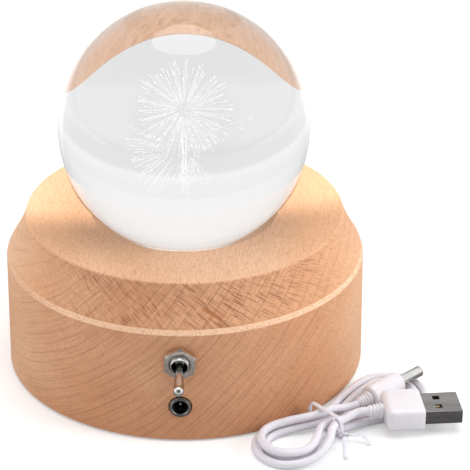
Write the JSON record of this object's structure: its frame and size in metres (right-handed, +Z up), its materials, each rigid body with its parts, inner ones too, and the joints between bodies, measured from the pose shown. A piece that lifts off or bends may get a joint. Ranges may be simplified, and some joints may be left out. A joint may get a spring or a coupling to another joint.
{
  "type": "crystal ball lamp",
  "caption": "Engraved clear glass ball on a stepped turned beech base with a light below it, a chrome toggle switch, a small power socket and a white plug-in power lead.",
  "frame": {"origin": "on the axis of the round base, on the table", "axes": "+Z up; -Y out of the front, where the switch and socket are; +X to the right seen from the front"},
  "size_m": [0.1453, 0.1314, 0.1215],
  "materials": {
    "clear_glass": "polished optical glass",
    "beech": "turned beech, clear matt oil",
    "frosted_acrylic": "frosted",
    "white_board": "white solder mask on glass fibre board",
    "emitter": "silicone filled white light emitter",
    "zinc_steel": "zinc plated",
    "chrome": "bright plated brass",
    "black_foam": "dense foam sheet",
    "cover_board": "hardboard",
    "blue_phenolic": "moulded phenolic",
    "silvered_brass": "silver plated brass",
    "white_nylon": "nylon",
    "black_plastic": "moulded",
    "brass": "plated",
    "red_wire": "PVC sleeve",
    "black_wire": "PVC sleeve",
    "white_cord": "soft white PVC sleeve",
    "white_moulding": "glossy white moulding",
    "plug_steel": "nickel plated sheet"
  },
  "bodies": {
    "lamp": {"wooden_base": "beech", "foam_pad": "black_foam", "base_cover": "cover_board", "light_window": "frosted_acrylic", "led_board": "white_board", "switch_bushing": "chrome", "switch_nut": "chrome", "switch_lock_washer": "zinc_steel", "switch_frame": "zinc_steel", "switch_housing": "blue_phenolic", "terminal_low": "silvered_brass", "terminal_middle": "silvered_brass", "terminal_high": "silvered_brass", "socket_barrel": "zinc_steel", "socket_insulator": "black_plastic", "socket_pin": "brass", "socket_leaf": "silvered_brass", "socket_nut": "zinc_steel", "feed_wire": "red_wire", "switched_wire": "red_wire", "return_wire": "black_wire", "cord_hank": "white_cord", "usb_lead": "white_cord", "dc_lead": "white_cord", "twist_tie": "white_cord", "usb_body": "white_moulding", "usb_shell": "plug_steel", "usb_tongue": "white_moulding", "dc_body": "white_moulding", "dc_barrel": "chrome", "dc_insulator": "black_plastic", "dc_contact": "brass", "base_cover_screw_1": "zinc_steel", "base_cover_screw_2": "zinc_steel", "base_cover_screw_3": "zinc_steel", "base_cover_screw_4": "zinc_steel", "led_board_screw_1": "zinc_steel", "led_board_screw_2": "zinc_steel", "led_board_screw_3": "zinc_steel", "led_emitter_1": "emitter", "led_emitter_2": "emitter", "led_emitter_3": "emitter", "led_emitter_4": "emitter", "led_emitter_5": "emitter", "board_resistor_1": "black_plastic", "board_resistor_2": "black_plastic", "usb_contact_1": "brass", "usb_contact_2": "brass", "usb_contact_3": "brass", "usb_contact_4": "brass"},
    "toggle": {"toggle_lever": "chrome", "toggle_plunger": "white_nylon", "contact_bridge": "silvered_brass"},
    "ball": {"crystal_ball": "clear_glass"}
  },
  "joints": [
    {"name": "toggle_throw", "type": "hinge", "parent": "lamp", "child": "toggle", "pos_m": [0, -0.057, 0.0289], "axis": [-1, 0, 0], "range_deg": [0, 22]},
    {"name": "ball_lift", "type": "slide", "parent": "lamp", "child": "ball", "axis": [0, 0, 1], "range_m": [0, 0.03]}
  ]
}
